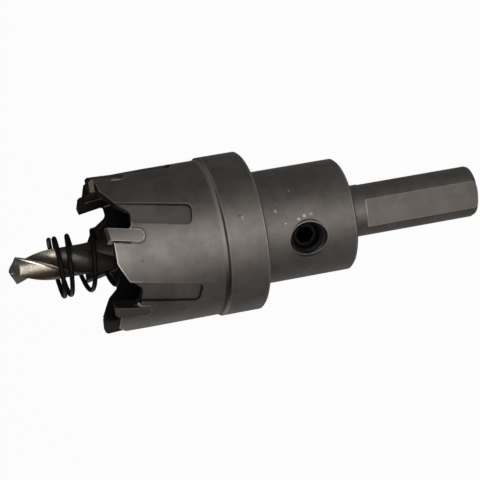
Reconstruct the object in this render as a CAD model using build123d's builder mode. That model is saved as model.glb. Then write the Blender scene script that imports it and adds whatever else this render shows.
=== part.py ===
"""Carbide-tipped hole saw with a stop collar, pilot drill and ejector spring.

The tool stands on the end of its shank. The origin is the centre of that end
face, +Z runs up the tool axis to the drill point, and the grub screw goes in
from -Y. It cuts turning anticlockwise as seen from above. Lengths are in
millimetres and angles in degrees.
"""

from build123d import *

import os
from math import cos, degrees, radians, sin, tan

os.makedirs("parts", exist_ok=True)

# Shank: round, with three flats for a drill chuck
shank_diameter = 10.0
shank_end_round = 1.0
flat_distance = 4.25
flat_length = 23.1
flat_count = 3
flat_angle = -81.4

# Hub and stop collar
hub_diameter = 21.5
hub_start = 27.2
hub_chamfer = 0.4
neck_chamfer = 0.5
collar_diameter = 30.3
collar_start = 46.0
collar_length = 8.0
collar_chamfer = 0.35

# Cup
cutting_diameter = 30.0
body_clearance = 0.25
cup_wall = 1.9
cup_floor_height = 52.0
cup_floor_chamfer = 0.8
rim_height = 74.5

# Teeth: angles are measured where the rake face meets the rim
tooth_count = 6
first_tooth_angle = 7.6
tooth_slant = 12.0
gullet_width = 5.1
gullet_root_width = 3.55
gullet_depth = 3.7
gullet_rake_round = 0.9
gullet_heel_round = 1.3
heel_height = 2.75
heel_slope = 42.0
heel_round = 0.6

# Carbide tips, brazed into milled seats
tip_width = 2.3
tip_depth = 6.1
tip_lead = 0.65
tip_end_round = 1.05
tip_inside_clearance = 0.1
tip_corner_width = 0.4
tip_corner_slope = 50.0
tip_corner_relief = 10.0
tip_top_slope = -2.0
tip_top_relief = 5.0
braze_gap = 0.05

# Chip flutes milled into the outside of the cup ahead of each tooth
flute_width = 4.0
flute_cut_depth = 0.8
flute_bottom = 59.1
flute_corner_round = 1.0
flute_lead = 3.4
flute_middle = 66.0

# Pilot drill and the bore that holds it
drill_diameter = 6.0
drill_length = 63.1
drill_bottom = 29.0
drill_fluted_length = 34.0
drill_runout = 4.0
drill_lead = 38.6
drill_point_angle = 135.0
drill_web = 1.2
drill_flute_spread = 100.0
drill_land_clearance = 0.13
drill_margin_angle = 13.0
drill_tip_angle = 0.0
drill_relief = 12.0
drill_relief_width = 0.9
drill_heel_relief = 35.0
drill_shank_chamfer = 0.5
bore_clearance = 0.03
bore_extra_depth = 1.0
bore_point_angle = 118.0

# Grub screw (M6 x 5, cup point, hexagon socket)
screw_height = 37.0
screw_diameter = 6.0
screw_length = 5.0
screw_fit = 0.05
screw_chamfer = 0.4
screw_hole_angle = -90.0
screw_countersink = 7.4
screw_countersink_angle = 90.0
socket_flats = 3.0
socket_depth = 2.4
cup_point_diameter = 3.0
cup_point_angle = 120.0

# Ejector spring: left-hand wound, standing loosely round the drill
spring_diameter = 11.8
spring_wire = 0.9
spring_closed_pitch = 1.0
spring_closed_turns = 1.1
spring_ramp_turns = 1.1
spring_open_pitch = 4.8
spring_open_turns = 4.6
spring_top_angle = 20.0
spring_bend = 1.7
spring_bend_towards = 139.0
spring_seat_clearance = 0.05
spring_points_per_turn = 16
spring_wire_sides = 8

# Sizes that follow from those above
shank_radius = shank_diameter / 2
hub_radius = hub_diameter / 2
collar_radius = collar_diameter / 2
collar_end = collar_start + collar_length
cut_radius = cutting_diameter / 2
cup_radius = cut_radius - body_clearance
cup_inner_radius = cup_radius - cup_wall
shank_end_bevel = shank_end_round * (1 - cos(radians(45)))
drill_radius = drill_diameter / 2
bore_radius = drill_radius + bore_clearance
drill_point_height = drill_bottom + drill_length
bore_bottom = drill_bottom - bore_extra_depth
screw_radius = screw_diameter / 2
tip_inner_radius = cup_inner_radius - tip_inside_clearance
overrun = 4.0
gullet_cut_start = cup_inner_radius - overrun
tolerance = 1e-3


def rings(part, radius, height):
    """The circular edges of a part with this radius at this height."""
    circles = part.edges().filter_by(GeomType.CIRCLE)
    return circles.filter_by(
        lambda edge: abs(edge.radius - radius) < tolerance
        and abs(edge.arc_center.Z - height) < tolerance
    )


def outward_plane(angle, height, slant=0.0):
    """Plane through the axis, square to the radius at this angle.

    Local x runs round the tool in the direction of cutting, local y up it and
    local z outwards. The slant leans local y forwards, into the cut.
    """
    facing = Plane(
        origin=(0, 0, height),
        x_dir=(-sin(radians(angle)), cos(radians(angle)), 0),
        z_dir=(cos(radians(angle)), sin(radians(angle)), 0),
    )
    return facing.moved(Rotation(0, 0, -slant))


def tooth_angles():
    """Where each rake face meets the rim."""
    return [first_tooth_angle + 360 / tooth_count * tooth for tooth in range(tooth_count)]


def flute_angle(tooth_angle):
    """Where the middle of a chip flute lies, on its slanting line ahead of the rake face."""
    drop = (rim_height - flute_middle) * tan(radians(tooth_slant))
    return tooth_angle + degrees((flute_lead - drop) / cup_radius)


# --------------------------------------------------------------- cutter body
with BuildPart() as cutter_body:
    with BuildSketch(Plane.XZ):
        with BuildLine():
            Polyline(
                (0, 0),
                (shank_radius - shank_end_round, 0),
                (shank_radius - shank_end_bevel, shank_end_bevel),
                (shank_radius, shank_end_round),
                (shank_radius, hub_start),
                (hub_radius, hub_start),
                (hub_radius, collar_start),
                (collar_radius, collar_start),
                (collar_radius, collar_end - (collar_radius - cup_radius)),
                (cup_radius, collar_end),
                (cup_radius, rim_height),
                (cup_inner_radius, rim_height),
                (cup_inner_radius, cup_floor_height),
                (bore_radius, cup_floor_height),
                (bore_radius, bore_bottom),
                (0, bore_bottom - bore_radius / tan(radians(bore_point_angle / 2))),
                close=True,
            )
        make_face()
    revolve(axis=Axis.Z)

    chamfer(rings(cutter_body, shank_radius, hub_start), neck_chamfer)
    chamfer(rings(cutter_body, cup_inner_radius, cup_floor_height), cup_floor_chamfer)
    chamfer(rings(cutter_body, hub_radius, hub_start), hub_chamfer)
    chamfer(rings(cutter_body, collar_radius, collar_start), collar_chamfer)

    # Three flats round the shank
    with BuildSketch():
        flat_cut = shank_radius
        with PolarLocations(flat_distance + flat_cut / 2, flat_count, start_angle=flat_angle):
            Rectangle(flat_cut, shank_diameter)
    extrude(amount=flat_length, mode=Mode.SUBTRACT)

    # Countersunk hole for the grub screw, through to the pilot bore
    with Locations(outward_plane(screw_hole_angle, screw_height).offset(hub_radius).location):
        CounterSinkHole(
            radius=screw_radius + screw_fit,
            counter_sink_radius=screw_countersink / 2,
            depth=hub_radius,
            counter_sink_angle=screw_countersink_angle,
        )

    for tooth_angle in tooth_angles():
        # Chip flute with a flat bottom and a square end, slanting like its tooth
        flute_plane = outward_plane(flute_angle(tooth_angle), flute_middle, tooth_slant)
        with BuildSketch(flute_plane.offset(cup_radius - flute_cut_depth)) as flute:
            with Locations((0, flute_bottom - flute_middle)):
                Rectangle(
                    flute_width,
                    rim_height - flute_bottom + overrun,
                    align=(Align.CENTER, Align.MIN),
                )
            fillet(flute.vertices().group_by(Axis.Y)[0], flute_corner_round)
        extrude(amount=flute_cut_depth + overrun, mode=Mode.SUBTRACT)

        # Gullet through the wall, its far side opening into the back of the next tooth
        tooth_plane = outward_plane(tooth_angle, rim_height, tooth_slant)
        heel = heel_height - gullet_depth
        with BuildSketch(tooth_plane.offset(gullet_cut_start)):
            with BuildLine():
                FilletPolyline(
                    (0, overrun),
                    (0, -gullet_depth),
                    (gullet_root_width, -gullet_depth),
                    (gullet_width, heel),
                    (gullet_width + (overrun - heel) / tan(radians(heel_slope)), overrun),
                    radius=[gullet_rake_round, gullet_heel_round, heel_round],
                )
                Line((0, overrun), (gullet_width + (overrun - heel) / tan(radians(heel_slope)), overrun))
            make_face()
        extrude(amount=cut_radius - gullet_cut_start + overrun, mode=Mode.SUBTRACT)

        # Seat for the carbide tip, as deep as the wall
        with BuildSketch(tooth_plane.offset(tip_inner_radius - overrun)) as seat:
            with Locations((braze_gap, -tip_depth - braze_gap)):
                Rectangle(
                    tip_width + 2 * braze_gap,
                    tip_depth + overrun,
                    align=(Align.MAX, Align.MIN),
                )
            fillet(seat.vertices().group_by(Axis.Y)[0], tip_end_round + braze_gap)
        extrude(amount=cut_radius - tip_inner_radius + 2 * overrun, mode=Mode.SUBTRACT)

cutter_body.part.label = "cutter_body"
export_step(cutter_body.part, "parts/cutter_body.step")


# -------------------------------------------------------------- carbide tips
def carbide_tip(tooth_angle):
    """One tip: round-ended behind, its top and outer corner ground back from the rake face."""
    upright = outward_plane(tooth_angle, rim_height)
    crest = tip_lead + tip_corner_width * tan(radians(tip_corner_slope))
    ground_corner = Plane(
        origin=upright.from_local_coords((0, tip_lead, cut_radius)),
        z_dir=upright.y_dir
        + upright.z_dir * tan(radians(tip_corner_slope))
        - upright.x_dir * tan(radians(tip_corner_relief)),
    )
    ground_top = Plane(
        origin=upright.from_local_coords((0, crest, cut_radius - tip_corner_width)),
        z_dir=upright.y_dir
        + upright.z_dir * tan(radians(tip_top_slope))
        - upright.x_dir * tan(radians(tip_top_relief)),
    )
    tooth_plane = outward_plane(tooth_angle, rim_height, tooth_slant)
    with BuildPart() as tip:
        with BuildSketch(tooth_plane.offset(tip_inner_radius - overrun)) as outline:
            with Locations((0, -tip_depth)):
                Rectangle(tip_width, tip_depth + overrun, align=(Align.MAX, Align.MIN))
            fillet(outline.vertices().group_by(Axis.Y)[0], tip_end_round)
        extrude(amount=cut_radius - tip_inner_radius + 2 * overrun)
        with BuildSketch(Plane.XY.offset(rim_height - 2 * tip_depth)):
            Circle(cut_radius)
            Circle(tip_inner_radius, mode=Mode.SUBTRACT)
        extrude(amount=3 * tip_depth, mode=Mode.INTERSECT)
        split(bisect_by=ground_corner, keep=Keep.BOTTOM)
        split(bisect_by=ground_top, keep=Keep.BOTTOM)
    return tip.part


for number, tooth_angle in enumerate(tooth_angles(), start=1):
    tip_part = carbide_tip(tooth_angle)
    tip_part.label = f"carbide_tip_{number}"
    export_step(tip_part, f"parts/{tip_part.label}.step")


# --------------------------------------------------------------- pilot drill
flutes_start = drill_point_height - drill_fluted_length
flute_twist = 360 * drill_fluted_length / drill_lead
margin_start = drill_tip_angle - flute_twist
web_radius = drill_web / 2
half_spread = drill_flute_spread / 2
flute_centre = (drill_radius**2 - web_radius**2) / (
    2 * (drill_radius * cos(radians(half_spread)) - web_radius)
)
drill_flute_radius = flute_centre - web_radius
land_cut = 4 * drill_land_clearance
point_drop = drill_radius / tan(radians(drill_point_angle / 2))

with BuildPart() as pilot_drill:
    with BuildSketch(Plane.XY.offset(flutes_start)) as drill_section:
        Circle(drill_radius)
        with PolarLocations(flute_centre, 2, start_angle=margin_start + half_spread):
            Circle(drill_flute_radius, mode=Mode.SUBTRACT)
        # The lands are ground back behind a narrow cutting margin
        with PolarLocations(0, 2, start_angle=margin_start - drill_margin_angle):
            SlotArc(
                CenterArc((0, 0), drill_radius - drill_land_clearance + land_cut, 0, drill_flute_spread - 180),
                2 * land_cut,
                mode=Mode.SUBTRACT,
            )
    section_face = drill_section.sketch.face()
    pilot_drill.pending_faces.clear()
    pilot_drill.pending_face_planes.clear()
    add(
        Solid.extrude_linear_with_rotation(
            section_face,
            center=(0, 0, flutes_start),
            normal=(0, 0, drill_fluted_length),
            angle=flute_twist,
        )
    )
    # Cone of the point
    with BuildSketch(Plane.XZ):
        Polygon(
            (0, flutes_start),
            (drill_radius, flutes_start),
            (drill_radius, drill_point_height - point_drop),
            (0, drill_point_height),
            align=None,
        )
    revolve(axis=Axis.Z, mode=Mode.INTERSECT)
    # Each half of the point is backed off in two facets behind its lip
    for lip in range(2):
        point_plane = Plane.XY.offset(drill_point_height).moved(Rotation(0, 0, drill_tip_angle + 180 * lip))
        lip_plane = point_plane.moved(Rotation(0, 90 - drill_point_angle / 2, 0))
        with Locations(lip_plane.moved(Rotation(drill_relief, 0, 0)).location):
            Box(
                2 * drill_diameter,
                drill_diameter,
                drill_radius,
                align=(Align.CENTER, Align.MAX, Align.MIN),
                mode=Mode.SUBTRACT,
            )
        with Locations(lip_plane.moved(Location((0, -drill_relief_width, 0), (drill_heel_relief, 0, 0))).location):
            Box(
                2 * drill_diameter,
                drill_diameter,
                drill_radius,
                align=(Align.CENTER, Align.MAX, Align.MIN),
                mode=Mode.SUBTRACT,
            )
    # Plain shank, with the flutes running out into it
    with BuildSketch(Plane.XZ):
        Polygon(
            (0, drill_bottom),
            (drill_radius - drill_shank_chamfer, drill_bottom),
            (drill_radius, drill_bottom + drill_shank_chamfer),
            (drill_radius, flutes_start),
            (web_radius, flutes_start + drill_runout),
            (0, flutes_start + drill_runout),
            align=None,
        )
    revolve(axis=Axis.Z)

pilot_drill.part.label = "pilot_drill"
export_step(pilot_drill.part, "parts/pilot_drill.step")


# ---------------------------------------------------------------- grub screw
screw_seat = outward_plane(screw_hole_angle, screw_height).offset(drill_radius + screw_fit)
with BuildPart() as grub_screw:
    with BuildSketch(screw_seat):
        Circle(screw_radius)
    extrude(amount=screw_length)
    chamfer(grub_screw.edges(), screw_chamfer)
    with BuildSketch(screw_seat.offset(screw_length)):
        RegularPolygon(socket_flats / 2, 6, major_radius=False)
    extrude(amount=-socket_depth, mode=Mode.SUBTRACT)
    with Locations(screw_seat.location):
        Cone(
            cup_point_diameter / 2,
            0,
            cup_point_diameter / 2 / tan(radians(cup_point_angle / 2)),
            align=(Align.CENTER, Align.CENTER, Align.MIN),
            mode=Mode.SUBTRACT,
        )

grub_screw.part.label = "grub_screw"
export_step(grub_screw.part, "parts/grub_screw.step")


# ------------------------------------------------------------ ejector spring
spring_radius = (spring_diameter - spring_wire) / 2
spring_turns = 2 * (spring_closed_turns + spring_ramp_turns) + spring_open_turns
spring_rise = (
    2 * spring_closed_turns * spring_closed_pitch
    + spring_ramp_turns * (spring_closed_pitch + spring_open_pitch)
    + spring_open_turns * spring_open_pitch
)
spring_foot = cup_floor_height + spring_seat_clearance + spring_wire / 2
bend_direction = radians(spring_bend_towards)


def pitch_at(turn):
    """Pitch of the wire so many turns up: closed at both ends, open between."""
    from_end = min(turn, spring_turns - turn) - spring_closed_turns
    opening = min(1, max(0, from_end / spring_ramp_turns))
    return spring_closed_pitch + (spring_open_pitch - spring_closed_pitch) * opening


wire_points = []
height = 0.0
for step in range(round(spring_turns * spring_points_per_turn) + 1):
    turn = step / spring_points_per_turn
    angle = radians(spring_top_angle + 360 * (spring_turns - turn))
    # The spring stands square on the cup floor and bends over as it rises
    shift = spring_bend * (height / spring_rise) ** 2
    tilt = 2 * spring_bend * height / spring_rise**2
    wire_points.append(
        (
            spring_radius * cos(angle) + shift * cos(bend_direction),
            spring_radius * sin(angle) + shift * sin(bend_direction),
            spring_foot + height - tilt * spring_radius * cos(angle - bend_direction),
        )
    )
    height += pitch_at(turn + 1 / (2 * spring_points_per_turn)) / spring_points_per_turn

with BuildPart() as ejector_spring:
    with BuildLine() as wire_line:
        Polyline(*wire_points)
    with BuildSketch(Plane(origin=wire_line.line @ 0, z_dir=wire_line.line % 0)):
        RegularPolygon(spring_wire / 2, spring_wire_sides)
    sweep(transition=Transition.RIGHT)

ejector_spring.part.label = "ejector_spring"
export_step(ejector_spring.part, "parts/ejector_spring.step")
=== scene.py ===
"""Dresses a carbide-tipped hole saw: its steels, braze, threads and spring, and its studio."""

from functools import reduce
from math import cos, pi, radians, sin, sqrt

import bmesh
import bpy
from bpy.props import FloatProperty, FloatVectorProperty, IntProperty, PointerProperty
from mathutils import Matrix, Vector


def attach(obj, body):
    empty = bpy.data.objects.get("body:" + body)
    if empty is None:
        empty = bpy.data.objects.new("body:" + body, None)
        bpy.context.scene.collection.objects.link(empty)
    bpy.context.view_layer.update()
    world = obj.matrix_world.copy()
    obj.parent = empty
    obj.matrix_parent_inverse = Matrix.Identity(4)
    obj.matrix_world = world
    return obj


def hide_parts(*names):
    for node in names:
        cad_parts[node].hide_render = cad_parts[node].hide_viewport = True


bl_info = {
    "name": "Hole Saw Dresser",
    "version": (1, 0, 0),
    "blender": (4, 5, 0),
    "location": "View3D > Sidebar > Hole Saw",
    "description": "Finishes a hole saw's steel, carbide, spring and threads, and lights it",
    "category": "Object",
}

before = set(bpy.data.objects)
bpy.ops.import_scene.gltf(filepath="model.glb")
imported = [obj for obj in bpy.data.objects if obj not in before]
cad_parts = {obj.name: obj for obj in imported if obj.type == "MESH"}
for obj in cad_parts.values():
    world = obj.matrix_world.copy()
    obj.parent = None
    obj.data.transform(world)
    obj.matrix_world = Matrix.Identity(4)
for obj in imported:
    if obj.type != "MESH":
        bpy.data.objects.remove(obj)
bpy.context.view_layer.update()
MM = 0.001
TEETH = 6
TIPS = [f"carbide_tip_{number}" for number in range(1, TEETH + 1)]

# Where the cutter body's own shapes lie, in metres
CUP_RADIUS = 14.75 * MM
CUP_INNER_RADIUS = 12.85 * MM
GULLET_DEPTH = 3.7 * MM
CUP_FLOOR = 52.0 * MM
RIM_HEIGHT = 74.5 * MM
FIRST_TOOTH = radians(7.6)
TOOTH_SLANT = radians(12.0)
TIP_WIDTH = 2.3 * MM
TIP_DEPTH = 6.1 * MM
TIP_END_ROUND = 1.05 * MM
SCREW_HEIGHT = 37.0 * MM
SCREW_LENGTH = 5.0 * MM
SCREW_BOTTOM = 3.05 * MM
SCREW_HOLE_RADIUS = 3.05 * MM

# Where the materials change, in millimetres up the tool or out from its axis
COLLAR_STEP = (53.8, 54.4)
COLLAR_STEP_RADIUS = 14.2
FLUTE_HEIGHTS = (55.4, 70.2)
FLUTE_DEPTHS = (13.4, 14.55)
SCREW_SINK_RADIUS = 3.62
POOLED_BRAZE_TOP = 71.2
DRILL_MARGIN_RADIUS = 2.96
DRILL_POINT_START = 88.6
# Below this height the drill gets painted shade, down in the cup
CUP_SHADE_LINE = 82.3

# Marks of the used surface: degrees round, millimetres up, radius from the axis, size
NICKS = [
    (-56.5, 42.7, 10.75, 0.32),
    (-50.7, 42.0, 10.75, 0.2),
    (-37.4, 39.1, 10.75, 0.28),
    (-71.0, 41.2, 10.75, 0.24),
    (-68.5, 38.5, 10.75, 0.34),
    (-66.5, 37.4, 10.75, 0.38),
    (-65.7, 36.0, 10.75, 0.26),
    (-54.3, 33.7, 10.75, 0.16),
    (-61.5, 50.2, 15.15, 0.24),
    (-43.7, 2.8, 5.0, 0.18),
    (-35.6, 4.7, 5.0, 0.14),
]
PITS = [
    (-60.0, 50.7, 15.15, 0.34),
    (-76.7, 65.9, 14.75, 0.2),
    (-79.0, 69.8, 14.75, 0.18),
    (-70.5, 66.7, 14.75, 0.12),
]

# Solder that ran into the gullet: across and up from the rake edge, radius, size, by tooth
BRAZE_LUMPS = {
    4: (
        (0.35 * MM, -3.35 * MM, 14.35 * MM, 0.42 * MM),
        (0.25 * MM, -2.75 * MM, 14.4 * MM, 0.3 * MM),
        (0.2 * MM, -3.75 * MM, 14.55 * MM, 0.36 * MM),
    ),
}

# A braze seam: where it starts below the rim, its straight steps, and the steps of its round end
SEAM_START = 0.5 * MM
SEAM_STEP = 0.6 * MM
SEAM_STRAIGHT_STEPS = 8
SEAM_ROUND_STEPS = 12

WIRE_CORNERS = 16
WIRE_END_BEVEL = 0.06 * MM
SCREW_BEVEL = 0.3 * MM
CUP_POINT_RADIUS = 1.5 * MM
CUP_POINT_DEPTH = 0.87 * MM
HUB_THREAD_START = 0.1 * MM
HUB_THREAD_END = 1.2 * MM

# The studio, in metres: each light's name, place, size and power setting
LIGHTS = (
    ("key_light", (0.20, -0.73, 0.18), (0.95, 0.4), "key_power"),
    ("fill_light", (-0.70, 0.35, 0.20), (0.4, 0.4), "fill_power"),
    ("edge_light", (0.45, 0.35, 0.45), (0.3, 0.3), "rim_power"),
)
LIGHT_AIM = (0.0, 0.0, 0.05)
LIGHT_SPREAD = radians(80)
FLOOR_HALF_WIDTH = 3.0
FLOOR_GLOW = 0.97
CAMERA_PLACE = (0.127223, -0.354363, 0.144869)
CAMERA_TURN = (radians(-34.1554), radians(72.4019), radians(-105.4422))
CAMERA_LENS = 153.5
CAMERA_SENSOR = 36.0
CAMERA_NEAREST = 0.01


# ----------------------------------------------------------------- settings
class SawSteelSettings(bpy.types.PropertyGroup):
    steel: FloatVectorProperty(
        name="Steel", description="Colour of the tempered cutter body",
        subtype="COLOR", default=(0.175, 0.156, 0.142),
    )
    # Also the colour of the painted shade on the milled faces, the flute corners and the collar's
    # step
    stain: FloatVectorProperty(
        name="Stain", description="Darker patches of the body's heat scale",
        subtype="COLOR", default=(0.125, 0.115, 0.104),
    )
    # Also the colour of the painted highlight on the body's and the tips' edges
    bare_and_highlight: FloatVectorProperty(
        name="Bare edge", description="Steel rubbed bright on the edges",
        subtype="COLOR", default=(0.56, 0.52, 0.48),
    )
    edge: FloatProperty(
        name="Edge wear", description="Reach of the body's bright edges",
        unit="LENGTH", default=0.4 * MM, precision=5,
    )
    tip_edge: FloatProperty(
        name="Tip edge wear", description="Reach of the tips' bright edges",
        unit="LENGTH", default=0.35 * MM, precision=5,
    )
    drill_edge: FloatProperty(
        name="Drill edge wear", description="Reach of the drill's bright edges",
        unit="LENGTH", default=0.08 * MM, precision=5,
    )
    seam: FloatProperty(
        name="Braze seam", description="Radius of the solder bead round a tip",
        unit="LENGTH", default=0.26 * MM, precision=5,
    )
    carbide: FloatVectorProperty(
        name="Carbide", description="Colour of the tips",
        subtype="COLOR", default=(0.175, 0.155, 0.143),
    )
    # Also the colour of the painted shade on the tips and on one side of the drill
    braze: FloatVectorProperty(
        name="Braze", description="Colour of the solder round the tips",
        subtype="COLOR", default=(0.05, 0.034, 0.022),
    )
    high_speed_steel: FloatVectorProperty(
        name="Drill steel", description="Colour of the ground drill",
        subtype="COLOR", default=(0.5, 0.44, 0.37),
    )
    # Also the colour of the painted shade on the drill's margins
    point: FloatVectorProperty(
        name="Drill point", description="Colour of the backed-off point",
        subtype="COLOR", default=(0.135, 0.13, 0.1),
    )
    # The colour of the painted shade on the drill down in the cup
    cup_shade: FloatVectorProperty(
        name="Old oil", description="Burnt oil on the drill inside the cup",
        subtype="COLOR", default=(0.035, 0.03, 0.024),
    )
    black_oxide: FloatVectorProperty(
        name="Black oxide", description="Colour of the spring and the screw",
        subtype="COLOR", default=(0.012, 0.012, 0.012),
    )


class SawSpringSettings(bpy.types.PropertyGroup):
    coil: FloatProperty(
        name="Coil", description="Coil radius at the wire's middle",
        unit="LENGTH", default=5.45 * MM,
    )
    wire: FloatProperty(name="Wire", description="Wire diameter", unit="LENGTH", default=0.9 * MM)
    closed_pitch: FloatProperty(
        name="Closed pitch", description="Pitch of the end coils",
        unit="LENGTH", default=1.0 * MM,
    )
    open_pitch: FloatProperty(
        name="Open pitch", description="Pitch between the ends",
        unit="LENGTH", default=4.8 * MM,
    )
    closed_turns: FloatProperty(
        name="Closed turns", description="Turns of each closed end",
        default=1.1,
    )
    ramp_turns: FloatProperty(
        name="Ramp turns", description="Turns over which each end opens",
        default=1.1,
    )
    open_turns: FloatProperty(name="Open turns", description="Turns at the open pitch", default=4.6)
    top_angle: FloatProperty(
        name="Top end", description="Where the upper wire end points",
        subtype="ANGLE", default=radians(20),
    )
    bend: FloatProperty(
        name="Bend", description="How far the top stands off the axis",
        unit="LENGTH", default=1.7 * MM,
    )
    bend_towards: FloatProperty(
        name="Bends towards", description="Direction of the bend",
        subtype="ANGLE", default=radians(139),
    )
    seat_gap: FloatProperty(
        name="Seat gap", description="Gap under the lowest coil",
        unit="LENGTH", default=0.05 * MM,
    )
    steps: IntProperty(name="Steps", description="Rings of vertices in one turn", default=40, min=8)


class SawThreadSettings(bpy.types.PropertyGroup):
    pitch: FloatProperty(
        name="Pitch", description="Pitch of the screw thread",
        unit="LENGTH", default=1.0 * MM,
    )
    major: FloatProperty(
        name="Crest", description="Outer radius of the screw thread",
        unit="LENGTH", default=2.96 * MM,
    )
    core: FloatProperty(
        name="Core", description="Radius at the thread's root",
        unit="LENGTH", default=2.42 * MM,
    )
    bore: FloatProperty(
        name="Bore", description="Radius inside the hub's thread",
        unit="LENGTH", default=2.5 * MM,
    )
    socket: FloatProperty(
        name="Socket", description="Width across the hexagon's flats",
        unit="LENGTH", default=3.0 * MM,
    )
    socket_depth: FloatProperty(
        name="Socket depth", description="Depth of the hexagon",
        unit="LENGTH", default=2.4 * MM,
    )
    steps: IntProperty(
        name="Steps", description="Steps in one turn of a thread",
        default=48, min=12,
    )


class SawStageSettings(bpy.types.PropertyGroup):
    key_power: FloatProperty(
        name="Key light", description="Power of the main soft box",
        unit="POWER", default=1.6,
    )
    fill_power: FloatProperty(
        name="Fill light", description="Power of the low soft box",
        unit="POWER", default=0.3,
    )
    rim_power: FloatProperty(
        name="Edge light", description="Power of the light that draws the edges",
        unit="POWER", default=0.03,
    )
    room: FloatProperty(
        name="Room light", description="Strength of the grey room round the object",
        default=0.018, min=0,
    )
    floor_in_metal: FloatProperty(
        name="Floor in metal", description="Share of the white floor that polished metal shows",
        default=0.02, min=0, max=1,
    )


# ---------------------------------------------------------------- materials
class Value:
    """A shader socket that can be used in sums."""

    def __init__(self, nodes, socket):
        self.nodes = nodes
        self.socket = socket

    def math(self, operation, *others):
        sockets = {0: self, **dict(enumerate(others, start=1))}
        return self.nodes.node("ShaderNodeMath", {"operation": operation}, sockets)

    def swapped(self, operation, other):
        return self.nodes.node("ShaderNodeMath", {"operation": operation}, {0: other, 1: self})

    def __add__(self, other):
        return self.math("ADD", other)

    def __sub__(self, other):
        return self.math("SUBTRACT", other)

    def __mul__(self, other):
        return self.math("MULTIPLY", other)

    def __radd__(self, other):
        return self.swapped("ADD", other)

    def __rsub__(self, other):
        return self.swapped("SUBTRACT", other)

    def __rmul__(self, other):
        return self.swapped("MULTIPLY", other)

    def between(self, low, high):
        """0 at low, 1 at high, and smooth between."""
        settings = {"interpolation_type": "SMOOTHSTEP"}
        sockets = {0: self, 1: low, 2: high, 3: 0.0, 4: 1.0}
        return self.nodes.node("ShaderNodeMapRange", settings, sockets)

    def inside(self, low, high, blur):
        """1 from low to high, and 0 further off than the blur."""
        return self.between(low - blur, low) * self.between(high + blur, high)


class Nodes:
    """The shader nodes of one material or world."""

    def __init__(self, owner):
        owner.use_nodes = True
        self.tree = owner.node_tree

    def node(self, kind, settings=None, sockets=None, output=0):
        """Adds one node: its settings first, then the values or links of its sockets."""
        node = self.tree.nodes.new(kind)
        for name, value in (settings or {}).items():
            setattr(node, name, value)
        for name, value in (sockets or {}).items():
            if isinstance(value, Value):
                self.tree.links.new(value.socket, node.inputs[name])
            else:
                node.inputs[name].default_value = value
        return Value(self, node.outputs[output])

    def link(self, value, node, socket):
        """Puts a value into a socket of a node that the tree already has."""
        self.tree.links.new(value.socket, self.tree.nodes[node].inputs[socket])

    def vector(self, operation, *vectors, output=0):
        """One step of vector maths."""
        sockets = dict(enumerate(vectors))
        return self.node("ShaderNodeVectorMath", {"operation": operation}, sockets, output)


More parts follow.
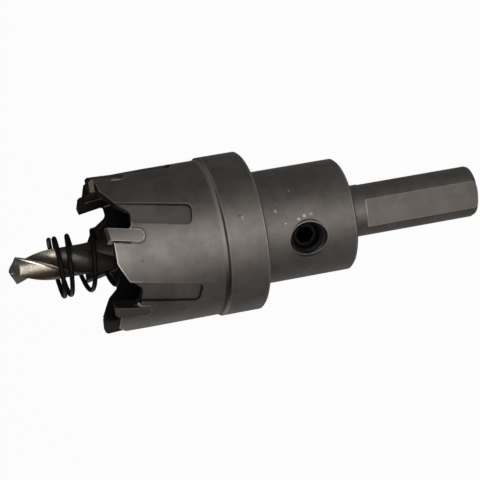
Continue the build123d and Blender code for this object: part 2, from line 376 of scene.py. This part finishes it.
class Finish(Nodes):
    """One procedural material on a Principled shader."""

    def __init__(self, name, **constants):
        self.material = bpy.data.materials.new(name)
        super().__init__(self.material)
        self.shader = self.tree.nodes["Principled BSDF"]
        for name, value in constants.items():
            self.shader.inputs[socket_name(name)].default_value = value

    def place(self):
        """Object coordinates in millimetres."""
        metres = self.node("ShaderNodeTexCoord", output="Object")
        return self.vector("MULTIPLY", metres, (1 / MM,) * 3)

    def stretched(self, place, x=1.0, y=1.0, z=1.0):
        """The place scaled by its own factor along each axis."""
        return self.vector("MULTIPLY", place, (x, y, z))

    def axis(self, vector, index):
        """One coordinate of a vector."""
        return self.node("ShaderNodeSeparateXYZ", None, {0: vector}, index)

    def from_axis(self, place):
        """Distance from the tool's axis, in millimetres."""
        return self.vector("LENGTH", self.stretched(place, z=0.0), output="Value")

    def outwards(self, place):
        """Direction straight away from the tool's axis."""
        return self.vector("NORMALIZE", self.stretched(place, z=0.0))

    def noise(self, place, scale, detail=2.0, roughness=0.5, distortion=0.0, output=0):
        sockets = {"Vector": place, "Scale": scale, "Detail": detail}
        sockets |= {"Roughness": roughness, "Distortion": distortion}
        return self.node("ShaderNodeTexNoise", None, sockets, output)

    def spots(self, place, scale):
        """Distance to the nearest of scattered points."""
        sockets = {"Vector": place, "Scale": scale}
        return self.node("ShaderNodeTexVoronoi", {"feature": "F1"}, sockets)

    def within(self, place, spot, weights, reach, blur):
        """1 within reach of one spot, in millimetres, with each axis weighed."""
        offset = self.stretched(self.vector("SUBTRACT", place, spot), *weights)
        return self.vector("LENGTH", offset, output="Value").between(reach + blur, reach)

    def marks(self, place, spots):
        """1 in small ragged dents, given as the lists of marks give them."""
        ragged = self.noise(place, 2.2, 3.0, output="Color")
        shift = self.vector("MULTIPLY_ADD", ragged, (1.1,) * 3, (-0.55,) * 3)
        shifted = self.vector("ADD", place, shift)
        dents = [
            self.within(shifted, on_body(angle, height, radius), (1.0,) * 3, size * 0.5, size * 0.6)
            for angle, height, radius, size in spots
        ]
        return reduce(lambda found, dent: found.math("MAXIMUM", dent), dents)

    def faces_out(self, place):
        """How far a face looks away from the axis: 1 straight out, 0 sideways, below 0 inwards."""
        facing = self.node("ShaderNodeNewGeometry", output="True Normal")
        return self.vector("DOT_PRODUCT", facing, self.outwards(place), output="Value")

    def rounded(self, radius):
        """The surface's direction as if each corner were rounded by this radius."""
        return self.node("ShaderNodeBevel", {"samples": 6}, {"Radius": radius})

    def edges(self, rounded):
        """1 where the surface turns a corner, on outer and inner corners."""
        facing = self.node("ShaderNodeNewGeometry", output="Normal")
        agreement = self.vector("DOT_PRODUCT", rounded, facing, output="Value")
        return (1.0 - agreement).between(0.012, 0.09)

    def edge_side(self, rounded, place):
        """Which way a corner turns round the axis: above 0 on one side of a groove."""
        around = self.vector("CROSS_PRODUCT", (0.0, 0.0, 1.0), self.outwards(place))
        return self.vector("DOT_PRODUCT", rounded, around, output="Value")

    def blend(self, share, first, second):
        """First colour where share is 0, second where it is 1."""
        sockets = {0: share, 6: first, 7: second}
        return self.node("ShaderNodeMix", {"data_type": "RGBA"}, sockets, output=2)

    def bump(self, height, distance, strength):
        """Raises the surface by height, in the given distance."""
        sockets = {"Strength": strength, "Distance": distance, "Height": height}
        return self.node("ShaderNodeBump", None, sockets)

    def connect(self, **links):
        for name, value in links.items():
            self.link(value, self.shader.name, socket_name(name))

    def wear(self, *pieces):
        """Puts this finish on the pieces."""
        for piece in pieces:
            piece.data.materials.clear()
            piece.data.materials.append(self.material)


def socket_name(name):
    """The shader's own name of a socket, from its name in Python."""
    return name.replace("_", " ").title().replace("Ior", "IOR")


def tint(colour, factor=1.0):
    """The colour made lighter or darker, and solid."""
    return (*(channel * factor for channel in colour), 1.0)


def on_body(angle, height, radius):
    """A place on the tool, in millimetres, from degrees round it and millimetres up it."""
    return (radius * cos(radians(angle)), radius * sin(radians(angle)), height)


def make_body_finish(settings):
    """Hardened tool steel: ground outside, with scale and painted shade where milled, painted
    highlight and shade on the collar's step, and bright edges of wear and painted highlight.
    """
    finish = Finish("tempered_steel", metallic=0.9)
    place = finish.place()
    across, high = finish.axis(place, 0), finish.axis(place, 2)
    from_axis = finish.from_axis(place)
    rounded = finish.rounded(settings.edge)
    edge = finish.edges(rounded)
    turning = finish.noise(finish.stretched(place, 0.04, 0.04, 4.0), 1.0, 3.0, 0.65)
    patches = finish.noise(place, 0.16, 4.0, 0.55, 0.4)
    clouds = finish.noise(place, 0.55, 4.0, 0.6, 0.8)
    grain = finish.noise(place, 6.0, 3.0, 0.7)
    specks = finish.spots(place, 0.75)

    # Heat stain, uneven grinding and small marks
    colour = finish.blend(patches.between(0.36, 0.66), tint(settings.steel), tint(settings.stain))
    uneven = (turning - 0.5) * 0.3 + (clouds - 0.5) * 0.5 + (grain - 0.5) * 0.4 + 0.15
    colour = finish.blend(uneven, colour, tint(settings.steel, 1.5))
    pit = specks.between(0.09, 0.05) * patches.between(0.52, 0.6)
    nicks = finish.marks(place, NICKS)
    pits = finish.marks(place, PITS)
    colour = finish.blend(pit * 0.4, colour, tint(settings.steel, 1.9))
    colour = finish.blend(nicks * 0.6, colour, tint(settings.bare_and_highlight))
    colour = finish.blend(pits * 0.8, colour, tint(settings.stain, 0.35))

    # Painted shade over the scale: the milled faces, inside the cup and round the screw hole are
    # painted nearly black
    step = from_axis.between(COLLAR_STEP_RADIUS - 0.2, COLLAR_STEP_RADIUS)
    step = step * high.inside(*COLLAR_STEP, 0.4)
    flute = high.between(COLLAR_STEP[1] + 0.2, COLLAR_STEP[1] + 0.5)
    flute = flute * from_axis.inside(*FLUTE_DEPTHS, 0.13)
    milled = (1.0 - finish.faces_out(place).between(0.15, 0.75)) * (1.0 - step)
    screw = (0.0, 0.0, SCREW_HEIGHT / MM)
    sink = finish.within(place, screw, (1.0, 0.0, 1.0), SCREW_SINK_RADIUS, 0.2)
    sink = sink * finish.axis(place, 1).between(0.0, -3.0)
    scale = milled.math("MAXIMUM", sink * 0.92)
    colour = finish.blend(scale * 0.9, colour, tint(settings.stain, 0.13))
    # Painted shadow in the corners of the flutes
    colour = finish.blend(edge * flute * (1.0 - milled) * 0.85, colour, tint(settings.stain, 0.2))

    # Painted highlight on the collar's step on the +x side of the tool only, and painted shade on
    # the step towards -x
    step_highlight = across.between(5.0, 12.0) * 0.45 - across.between(3.0, -6.0) * 0.3 + 0.32
    colour = finish.blend(step * step_highlight, colour, tint(settings.steel, 1.8))
    colour = finish.blend(step * across.between(2.0, -5.0) * 0.8, colour, tint(settings.stain, 0.3))

    # Edges are rubbed bright, partly wear and partly painted highlight, which fades beside the
    # flutes towards -x; the far side of each flute gets a painted shadow
    beside = high.inside(*FLUTE_HEIGHTS, 0.4) * (1.0 - flute)
    far_side_shade = finish.edge_side(rounded, place).between(0.02, 0.1) * beside
    colour = finish.blend(edge * far_side_shade * 0.6, colour, tint(settings.stain, 0.35))
    kept = (1.0 - milled * 0.92) * (1.0 - flute) * (1.0 - step * across.between(12.0, 7.0))
    kept = kept * (1.0 - far_side_shade) * (1.0 - beside * across.between(3.0, -1.0) * 0.75)
    rubbed = edge * (grain.between(0.25, 0.55) * 0.35 + 0.6) * kept
    colour = finish.blend(rubbed, colour, tint(settings.bare_and_highlight))

    roughness = 0.47 + (patches - 0.5) * 0.14 + (clouds - 0.5) * 0.1 + (grain - 0.5) * 0.1
    roughness = roughness + milled * 0.1 - rubbed * 0.1
    height = turning * 0.35 + clouds * 0.4 + grain * 0.35 - nicks * 1.6 - pits * 2.0 - pit * 0.8
    normal = finish.bump(height, 0.00001, 0.6)
    finish.connect(base_color=colour, roughness=roughness, normal=normal)
    return finish


def make_carbide_finish(settings):
    """Sintered carbide, ground along the tool, with painted highlight on its edges, and painted
    shade on its faces that don't face out and on the tips at the tool's +x and -x sides.
    """
    finish = Finish("ground_carbide", metallic=0.85)
    place = finish.place()
    across = finish.axis(place, 0)
    scratches = finish.noise(finish.stretched(place, 7.0, 7.0, 0.7), 1.0, 3.0, 0.6)
    grain = finish.noise(place, 3.0, 4.0, 0.6)
    edge = finish.edges(finish.rounded(settings.tip_edge))
    outer = finish.faces_out(place).between(0.45, 0.9)
    # Painted shade: the tips towards +x and -x are darkened and faces that don't face out are
    # painted nearly black; the outer edges get a painted highlight
    painted_side_shade = across.between(9.0, 12.5) * 0.92 + across.between(-4.0, -9.0) * 0.35
    colour = finish.blend(grain, tint(settings.carbide, 0.85), tint(settings.carbide, 1.2))
    colour = finish.blend((1.0 - outer) * 0.8, colour, tint(settings.carbide, 0.12))
    colour = finish.blend(painted_side_shade, colour, tint(settings.braze, 0.6))
    colour = finish.blend(edge * outer * (0.7 - painted_side_shade * 0.5), colour, tint(settings.bare_and_highlight))
    roughness = 0.36 + (scratches - 0.5) * 0.2 - edge * 0.08
    height = scratches * 0.6 + grain * 0.6
    normal = finish.bump(height, 0.000008, 0.6)
    finish.connect(base_color=colour, roughness=roughness, normal=normal)
    return finish


def make_braze_finish(settings):
    """Silver solder browned by the flux, and brighter where it ran into a gullet."""
    finish = Finish("flux_stained_braze", metallic=0.7)
    place = finish.place()
    lumps = finish.noise(place, 1.6, 4.0, 0.6)
    bright = finish.noise(place, 3.5, 2.0, 0.6)
    pooled = finish.axis(place, 2).between(POOLED_BRAZE_TOP + 0.4, POOLED_BRAZE_TOP)
    stain = lumps.between(0.4, 0.7)
    colour = finish.blend(stain, tint(settings.braze, 0.35), tint(settings.braze, 1.4))
    rubbed = bright.between(0.64, 0.72) * 0.4 + pooled * 0.45
    colour = finish.blend(rubbed, colour, tint(settings.bare_and_highlight, 0.5))
    roughness = 0.35 + lumps * 0.3
    finish.connect(base_color=colour, roughness=roughness, normal=finish.bump(lumps, 0.00004, 0.7))
    return finish


def make_drill_finish(settings):
    """Ground high-speed steel, bright behind the point, with painted highlight on its edges and
    painted shade on its margins, on one side and down in the cup.
    """
    finish = Finish("high_speed_steel")
    place = finish.place()
    across, high = finish.axis(place, 0), finish.axis(place, 2)
    lines = finish.noise(finish.stretched(place, 1.0, 1.0, 9.0), 1.0, 3.0, 0.6)
    smears = finish.noise(finish.stretched(place, 1.0, 1.0, 0.35), 0.8, 4.0, 0.6, 0.5)
    specks = finish.noise(place, 2.2, 3.0, 0.6)
    edge = finish.edges(finish.rounded(settings.drill_edge))
    steel = settings.high_speed_steel
    colour = finish.blend(smears.between(0.35, 0.7), tint(steel), tint(steel, 0.55))
    # Painted highlight: a lighter copy of the steel along the edges
    colour = finish.blend(edge * 0.6, colour, tint(steel, 1.2))

    # Painted shade on the margins and on the -x side, a dull point, and painted shade lower down in
    # the cup
    margin = finish.from_axis(place).between(DRILL_MARGIN_RADIUS - 0.05, DRILL_MARGIN_RADIUS)
    painted_side_shade = (across + (specks - 0.5) * 1.5).between(1.3, -0.5)
    point = high.between(DRILL_POINT_START - 1.3, DRILL_POINT_START)
    point = (1.0 - finish.faces_out(place).between(0.35, 0.8)) * point
    cup_shade = (high + (smears - 0.5) * 1.2).between(CUP_SHADE_LINE + 1.3, CUP_SHADE_LINE)
    cup_shade = cup_shade * (1.0 - specks.between(0.6, 0.7) * 0.35)
    colour = finish.blend(margin * 0.8, colour, tint(settings.point, 0.9))
    colour = finish.blend(painted_side_shade * 0.9, colour, tint(settings.braze, 2.8))
    colour = finish.blend(point * 0.95, colour, tint(settings.point))
    colour = finish.blend(cup_shade * 0.94, colour, tint(settings.cup_shade))
    roughness = 0.2 + smears * 0.16 + (lines - 0.5) * 0.16
    roughness = roughness + cup_shade * 0.12 + point * 0.25 + painted_side_shade * 0.1 + margin * 0.2
    metallic = 1.0 - point * 0.75 - cup_shade * 0.3
    normal = finish.bump(lines, 0.000012, 0.6)
    finish.connect(base_color=colour, metallic=metallic, roughness=roughness, normal=normal)
    return finish


def make_black_finish(settings, name, rub):
    """Oil-blackened steel with the oxide rubbed thin on the crowns."""
    finish = Finish(name, metallic=0.5, specular_ior_level=0.12)
    place = finish.place()
    wear = finish.noise(place, 0.9, 5.0, 0.65)
    grain = finish.noise(place, 9.0, 2.0, 0.6)
    black = settings.black_oxide
    colour = finish.blend(wear.between(0.58, 0.75) * rub, tint(black, 0.6), tint(black, 5.0))
    roughness = 0.46 + wear * 0.2
    finish.connect(base_color=colour, roughness=roughness, normal=finish.bump(grain, 0.000006, 0.5))
    return finish


# ------------------------------------------------------------------- shapes
def to_piece(mesh, name, finish, slot, *nodes):
    """Turns a bmesh into a piece that rides on the tool, in place of the CAD nodes named."""
    bmesh.ops.recalc_face_normals(mesh, faces=mesh.faces)
    data = bpy.data.meshes.new(name)
    mesh.to_mesh(data)
    mesh.free()
    for polygon in data.polygons:
        polygon.use_smooth = True
    piece = bpy.data.objects.new(name, data)
    bpy.context.scene.collection.objects.link(piece)
    finish.wear(piece)
    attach(piece, "root")
    if nodes:
        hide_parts(*nodes)
    return piece


def verts_of(elements):
    return [element for element in elements if isinstance(element, bmesh.types.BMVert)]


def edges_of(elements):
    return [element for element in elements if isinstance(element, bmesh.types.BMEdge)]


def helix(mesh, profile, angle, rise, steps):
    """Screws an edge loop up the z axis and returns the loop that it ends in."""
    spun = bmesh.ops.spin(
        mesh,
        geom=profile,
        cent=(0, 0, 0),
        axis=(0, 0, 1),
        dvec=(0, 0, rise / steps),
        angle=angle,
        steps=steps,
        use_merge=False,
    )
    return verts_of(spun["geom_last"]) + edges_of(spun["geom_last"])


def upright_ring(mesh, points):
    """A closed loop of vertices in the plane of x and z."""
    corners = [mesh.verts.new((x, 0, z)) for x, z in points]
    previous = corners[-1:] + corners[:-1]
    return corners + [mesh.edges.new(pair) for pair in zip(previous, corners)]


def on_tooth(tooth, across, up, radius):
    """A place beside a rake edge: across and up the slanting tooth, and out from the axis."""
    angle = FIRST_TOOTH + tooth * 2 * pi / TEETH
    sideways = across * cos(TOOTH_SLANT) + up * sin(TOOTH_SLANT)
    outwards = sqrt(radius**2 - sideways**2)
    return Vector(
        (
            outwards * cos(angle) - sideways * sin(angle),
            outwards * sin(angle) + sideways * cos(angle),
            RIM_HEIGHT - across * sin(TOOTH_SLANT) + up * cos(TOOTH_SLANT),
        )
    )


def add_tube(mesh, places, radius):
    """A round bead along a line of places, added to the mesh."""
    curve = bpy.data.curves.new("bead", "CURVE")
    curve.dimensions = "3D"
    curve.bevel_depth = radius
    curve.bevel_resolution = 2
    curve.use_fill_caps = True
    line = curve.splines.new("POLY")
    line.points.add(len(places) - 1)
    for point, place in zip(line.points, places):
        point.co = (*place, 1.0)
    holder = bpy.data.objects.new("bead", curve)
    mesh.from_mesh(bpy.data.meshes.new_from_object(holder))
    bpy.data.objects.remove(holder)


def sharpen(piece, angle):
    """Marks edges that turn more than this angle as sharp."""
    piece.data.set_sharp_from_angle(angle=angle)


# ---------------------------------------------------------------- operators
class SAW_OT_cutter_body(bpy.types.Operator):
    """Gives the cutter body its heat-darkened, turned steel"""

    bl_idname = "saw.cutter_body"
    bl_label = "Cutter Body"

    def execute(self, context):
        make_body_finish(context.scene.saw_steel).wear(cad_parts["cutter_body"])
        return {"FINISHED"}


class SAW_OT_carbide_tips(bpy.types.Operator):
    """Gives the six tips their ground carbide"""

    bl_idname = "saw.carbide_tips"
    bl_label = "Carbide Tips"

    def execute(self, context):
        make_carbide_finish(context.scene.saw_steel).wear(*(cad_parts[name] for name in TIPS))
        return {"FINISHED"}


class SAW_OT_braze(bpy.types.Operator):
    """Runs solder beads round the tips, outside and inside the cup"""

    bl_idname = "saw.braze"
    bl_label = "Braze Seams"

    def execute(self, context):
        steel = context.scene.saw_steel
        finish = make_braze_finish(steel)
        line = seam_line(steel.seam * 0.55)
        for tooth in range(TEETH):
            mesh = bmesh.new()
            for radius in (CUP_RADIUS - steel.seam / 4, CUP_INNER_RADIUS + steel.seam / 4):
                places = [on_tooth(tooth, across, up, radius) for across, up in line]
                add_tube(mesh, places, steel.seam)
            for across, up, radius, size in BRAZE_LUMPS.get(tooth, ()):
                lump = bmesh.ops.create_icosphere(mesh, subdivisions=3, radius=size)["verts"]
                for vert in lump:
                    ripple = sin(vert.co.x / size * 4 + across / MM)
                    vert.co *= 1 + 0.22 * ripple * cos(vert.co.z / size * 5 + up / MM)
                bmesh.ops.translate(mesh, verts=lump, vec=on_tooth(tooth, across, up, radius))
            to_piece(mesh, f"braze_seam_{tooth + 1}", finish, "carbide")
        return {"FINISHED"}


def seam_line(beside):
    """The line round a tip, beside its edge: across and up from the rake edge."""
    side_steps = range(SEAM_STRAIGHT_STEPS)
    line = [(-TIP_WIDTH - beside, -SEAM_START - SEAM_STEP * step) for step in side_steps]
    reach = TIP_WIDTH / 2 - TIP_END_ROUND
    bend = TIP_END_ROUND + beside
    for step in range(SEAM_ROUND_STEPS + 1):
        turn = pi + pi * step / SEAM_ROUND_STEPS
        side = -1 if step < SEAM_ROUND_STEPS / 2 else 1
        across = -TIP_WIDTH / 2 + side * reach + bend * cos(turn)
        line.append((across, TIP_END_ROUND - TIP_DEPTH + bend * sin(turn)))
    return line + [(beside, -GULLET_DEPTH - 0.1 * MM)]


class SAW_OT_pilot_drill(bpy.types.Operator):
    """Gives the pilot drill its ground steel"""

    bl_idname = "saw.pilot_drill"
    bl_label = "Pilot Drill"

    def execute(self, context):
        make_drill_finish(context.scene.saw_steel).wear(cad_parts["pilot_drill"])
        return {"FINISHED"}


class SAW_OT_ejector_spring(bpy.types.Operator):
    """Winds the ejector spring from round wire"""

    bl_idname = "saw.ejector_spring"
    bl_label = "Ejector Spring"

    def execute(self, context):
        spring = context.scene.saw_spring
        turns = 2 * (spring.closed_turns + spring.ramp_turns) + spring.open_turns
        mesh = bmesh.new()
        half = spring.wire / 2
        corners = [2 * pi * corner / WIRE_CORNERS for corner in range(WIRE_CORNERS)]
        section = [(spring.coil + half * cos(corner), half * sin(corner)) for corner in corners]
        loop = upright_ring(mesh, section)
        mesh.faces.new(verts_of(loop))
        for step in range(round(turns * spring.steps)):
            turn = (step + 0.5) / spring.steps
            opening = (min(turn, turns - turn) - spring.closed_turns) / spring.ramp_turns
            opening = min(1, max(0, opening))
            pitch = spring.closed_pitch + (spring.open_pitch - spring.closed_pitch) * opening
            loop = helix(mesh, loop, -2 * pi / spring.steps, pitch / spring.steps, 1)
        bmesh.ops.contextual_create(mesh, geom=edges_of(loop))
        ends = [face for face in mesh.faces if len(face.verts) == WIRE_CORNERS]
        bmesh.ops.bevel(
            mesh,
            geom=[edge for end in ends for edge in end.edges],
            offset=WIRE_END_BEVEL,
            affect="EDGES",
            segments=2,
            profile=0.5,
            material=-1,
        )
        upright = Matrix.Rotation(spring.top_angle + 2 * pi * turns, 4, "Z")
        bmesh.ops.transform(mesh, matrix=upright, verts=mesh.verts)
        bend_over(mesh, spring)
        finish = make_black_finish(context.scene.saw_steel, "black_spring_wire", 0.6)
        piece = to_piece(mesh, "round_wire_spring", finish, "spring_steel", "ejector_spring")
        sharpen(piece, radians(50))
        return {"FINISHED"}


def bend_over(mesh, spring):
    """Stands the straight spring on the cup floor, and bends it to one side as it rises."""
    rise = 2 * spring.closed_turns * spring.closed_pitch + spring.open_turns * spring.open_pitch
    rise += spring.ramp_turns * (spring.closed_pitch + spring.open_pitch)
    aside = Vector((cos(spring.bend_towards), sin(spring.bend_towards), 0))
    foot = Vector((0, 0, CUP_FLOOR + spring.seat_gap + spring.wire / 2))
    for vert in mesh.verts:
        share = vert.co.z / rise
        sink = 2 * spring.bend * share / rise * vert.co.dot(aside)
        vert.co += foot + aside * spring.bend * share**2 - Vector((0, 0, sink))


class SAW_OT_grub_screw(bpy.types.Operator):
    """Cuts the thread of the grub screw, with its hexagon socket and cup point"""

    bl_idname = "saw.grub_screw"
    bl_label = "Grub Screw"

    def execute(self, context):
        thread = context.scene.saw_thread
        mesh = bmesh.new()
        rim = thread.core - SCREW_BEVEL
        shoulder = SCREW_LENGTH - SCREW_BEVEL
        shape = [(0, CUP_POINT_DEPTH), (CUP_POINT_RADIUS, 0), (rim, 0), (thread.core, SCREW_BEVEL)]
        shape += [(thread.core, shoulder), (rim, SCREW_LENGTH)]
        corners = [mesh.verts.new((x, 0, z)) for x, z in shape]
        lathe = corners + [mesh.edges.new(pair) for pair in zip(corners, corners[1:])]
        bmesh.ops.spin(
            mesh,
            geom=lathe,
            cent=(0, 0, 0),
            axis=(0, 0, 1),
            angle=2 * pi,
            steps=thread.steps,
            use_merge=True,
        )
        bmesh.ops.remove_doubles(mesh, verts=mesh.verts, dist=1e-6)
        add_socket(mesh, thread)
        runout = shoulder - thread.pitch * 0.6
        add_thread(mesh, thread, thread.core, thread.major, SCREW_BEVEL, runout)
        place_in_hub(mesh, SCREW_BOTTOM)
        finish = make_black_finish(context.scene.saw_steel, "black_screw", 0.2)
        screw = to_piece(mesh, "threaded_grub_screw", finish, "screw_steel", "grub_screw")
        sharpen(screw, radians(35))

        # The hub's thread wears the black screw finish, as painted shade inside the screw hole
        mesh = bmesh.new()
        add_thread(mesh, thread, SCREW_HOLE_RADIUS, thread.bore, HUB_THREAD_START, HUB_THREAD_END)
        place_in_hub(mesh, SCREW_BOTTOM + SCREW_LENGTH)
        sharpen(to_piece(mesh, "hub_thread", finish, "body_steel"), radians(35))
        return {"FINISHED"}


def add_socket(mesh, thread):
    """Closes the open top of a screw with a hexagon socket."""
    top = [edge for edge in mesh.edges if edge.is_boundary]
    corner = thread.socket / 2 / cos(pi / 6)
    hexagon = bmesh.ops.create_circle(mesh, segments=6, radius=corner)["verts"]
    bmesh.ops.translate(mesh, verts=hexagon, vec=(0, 0, SCREW_LENGTH))
    sides = list({edge for vert in hexagon for edge in vert.link_edges})
    bmesh.ops.subdivide_edges(mesh, edges=sides, cuts=thread.steps // 6 - 1)
    mouth = [edge for edge in mesh.edges if (edge.is_boundary or edge.is_wire) and edge not in top]
    bmesh.ops.bridge_loops(mesh, edges=top + mouth)
    walls = bmesh.ops.extrude_edge_only(mesh, edges=mouth)["geom"]
    bmesh.ops.translate(mesh, verts=verts_of(walls), vec=(0, 0, -thread.socket_depth))
    bmesh.ops.contextual_create(mesh, geom=edges_of(walls))


def add_thread(mesh, thread, root, crest, start, end):
    """A ridge that screws up the z axis, from start to end, standing from the root to the crest."""
    half = thread.pitch * 0.42
    outwards = 1 if crest > root else -1
    buried = root - outwards * 0.03 * MM
    flat = thread.pitch * 0.06
    corners = [(buried, -half), (crest, -flat), (crest, flat), (buried, half)]
    ring = upright_ring(mesh, corners)
    bmesh.ops.translate(mesh, verts=verts_of(ring), vec=(0, 0, start + half))
    mesh.faces.new(verts_of(ring))
    turns = (end - start) / thread.pitch
    last = helix(mesh, ring, 2 * pi * turns, end - start, round(turns * thread.steps))
    bmesh.ops.contextual_create(mesh, geom=edges_of(last))


def place_in_hub(mesh, depth):
    """Turns what was made along z to point out of the screw hole, with its foot at this depth."""
    placed = Matrix.Translation((0, -depth, SCREW_HEIGHT)) @ Matrix.Rotation(pi / 2, 4, "X")
    bmesh.ops.transform(mesh, matrix=placed, verts=mesh.verts)


class SAW_OT_stage(bpy.types.Operator):
    """Sets up the floor, the soft lights and the camera"""

    bl_idname = "saw.stage"
    bl_label = "Studio"

    def execute(self, context):
        stage = context.scene.saw_stage
        mesh = bmesh.new()
        bmesh.ops.create_grid(mesh, x_segments=1, y_segments=1, size=FLOOR_HALF_WIDTH)
        data = bpy.data.meshes.new("studio_floor")
        mesh.to_mesh(data)
        mesh.free()
        floor = bpy.data.objects.new("studio_floor", data)
        context.scene.collection.objects.link(floor)

        pale = (0.86, 0.86, 0.86, 1)
        finish = Finish("white_floor", base_color=pale, roughness=0.9, specular_ior_level=0.1)
        seen = background_rays(finish, stage.floor_in_metal)
        glow = finish.node("ShaderNodeEmission", None, {"Color": (1, 1, 1, 1), "Strength": 1.0})
        shade = Value(finish, finish.shader.outputs[0])
        mixed = finish.node("ShaderNodeMixShader", None, {0: seen * FLOOR_GLOW, 1: shade, 2: glow})
        finish.link(mixed, "Material Output", "Surface")
        finish.wear(floor)

        world = bpy.data.worlds.new("studio_room")
        context.scene.world = world
        room = Nodes(world)
        seen = background_rays(room, stage.floor_in_metal)
        room.tree.nodes["Background"].inputs["Color"].default_value = (1, 1, 1, 1)
        room.link(stage.room + seen * (1 - stage.room), "Background", "Strength")

        for name, place, size, power in LIGHTS:
            add_soft_box(name, place, size, getattr(stage, power))

        lens = bpy.data.cameras.new("studio_camera")
        lens.lens = CAMERA_LENS
        lens.sensor_width = CAMERA_SENSOR
        lens.clip_start = CAMERA_NEAREST
        camera = bpy.data.objects.new("studio_camera", lens)
        camera.location = CAMERA_PLACE
        camera.rotation_euler = CAMERA_TURN
        context.scene.collection.objects.link(camera)
        context.scene.camera = camera
        context.scene.view_settings.view_transform = "Standard"
        return {"FINISHED"}


def background_rays(nodes, in_metal):
    """1 for what the camera sees directly or through glass, and the given share for reflections."""
    straight = nodes.node("ShaderNodeLightPath", output="Is Camera Ray")
    through = nodes.node("ShaderNodeLightPath", output="Is Transmission Ray")
    reflected = nodes.node("ShaderNodeLightPath", output="Is Glossy Ray")
    return straight.math("MAXIMUM", through).math("MAXIMUM", reflected * in_metal)


def add_soft_box(name, place, size, power):
    """A rectangular soft light that faces the tool."""
    lamp = bpy.data.lights.new(name, "AREA")
    lamp.shape = "RECTANGLE"
    lamp.size, lamp.size_y = size
    lamp.energy = power
    lamp.spread = LIGHT_SPREAD
    box = bpy.data.objects.new(name, lamp)
    box.location = place
    box.rotation_euler = (Vector(LIGHT_AIM) - Vector(place)).to_track_quat("-Z", "Y").to_euler()
    bpy.context.scene.collection.objects.link(box)


class SAW_PT_dresser(bpy.types.Panel):
    """Lists the pieces of the hole saw and their settings"""

    bl_label = "Hole Saw"
    bl_space_type = "VIEW_3D"
    bl_region_type = "UI"
    bl_category = "Hole Saw"

    def draw(self, context):
        for settings in (
            context.scene.saw_steel,
            context.scene.saw_spring,
            context.scene.saw_thread,
            context.scene.saw_stage,
        ):
            box = self.layout.box()
            for name in settings.__annotations__:
                box.prop(settings, name)
        for operator in PIECES:
            self.layout.operator(operator.bl_idname)


SETTINGS = {
    "saw_steel": SawSteelSettings,
    "saw_spring": SawSpringSettings,
    "saw_thread": SawThreadSettings,
    "saw_stage": SawStageSettings,
}
PIECES = (
    SAW_OT_cutter_body,
    SAW_OT_carbide_tips,
    SAW_OT_braze,
    SAW_OT_pilot_drill,
    SAW_OT_ejector_spring,
    SAW_OT_grub_screw,
    SAW_OT_stage,
)


def register():
    for group in (*SETTINGS.values(), *PIECES, SAW_PT_dresser):
        bpy.utils.register_class(group)
    for name, group in SETTINGS.items():
        setattr(bpy.types.Scene, name, PointerProperty(type=group))


def unregister():
    for name in SETTINGS:
        delattr(bpy.types.Scene, name)
    for group in reversed((*SETTINGS.values(), *PIECES, SAW_PT_dresser)):
        bpy.utils.unregister_class(group)


def main():
    register()
    bpy.ops.saw.cutter_body()
    bpy.ops.saw.carbide_tips()
    bpy.ops.saw.braze()
    bpy.ops.saw.pilot_drill()
    bpy.ops.saw.ejector_spring()
    bpy.ops.saw.grub_screw()
    bpy.ops.saw.stage()


if __name__ == "__main__":
    main()
